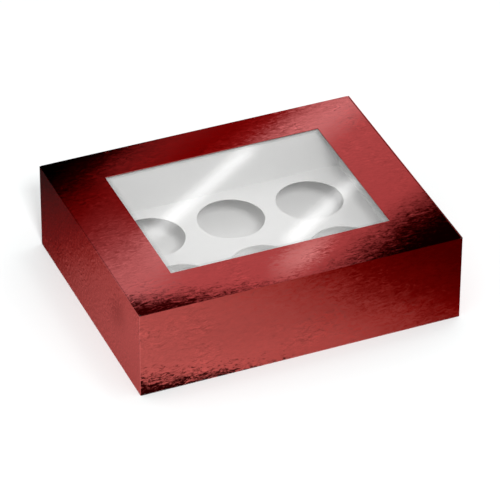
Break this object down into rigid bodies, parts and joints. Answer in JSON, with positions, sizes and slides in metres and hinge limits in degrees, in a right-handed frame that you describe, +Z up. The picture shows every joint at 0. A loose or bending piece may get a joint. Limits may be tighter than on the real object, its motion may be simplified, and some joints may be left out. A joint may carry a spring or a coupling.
{
  "type": "cupcake box",
  "caption": "Folded foil-card bakery box with a hinged window lid over a recessed white card insert with round holes for cupcakes.",
  "frame": {"origin": "centre of the underside of the closed box", "axes": "+X along the length, +Y from the front to the lid's hinge at the back, +Z up"},
  "size_m": [0.315, 0.255, 0.088],
  "materials": {
    "foil_card": "gloss metallic foil",
    "clear_film": "clear gloss",
    "white_card": "matte"
  },
  "bodies": {
    "box": {"tray": "foil_card", "insert": "white_card"},
    "lid": {"lid": "foil_card", "window_film": "clear_film"}
  },
  "joints": [
    {"name": "lid_hinge", "type": "hinge", "parent": "box", "child": "lid", "pos_m": [0, 0.1275, 0.08725], "axis": [-1, 0, 0], "range_deg": [0, 180]}
  ]
}
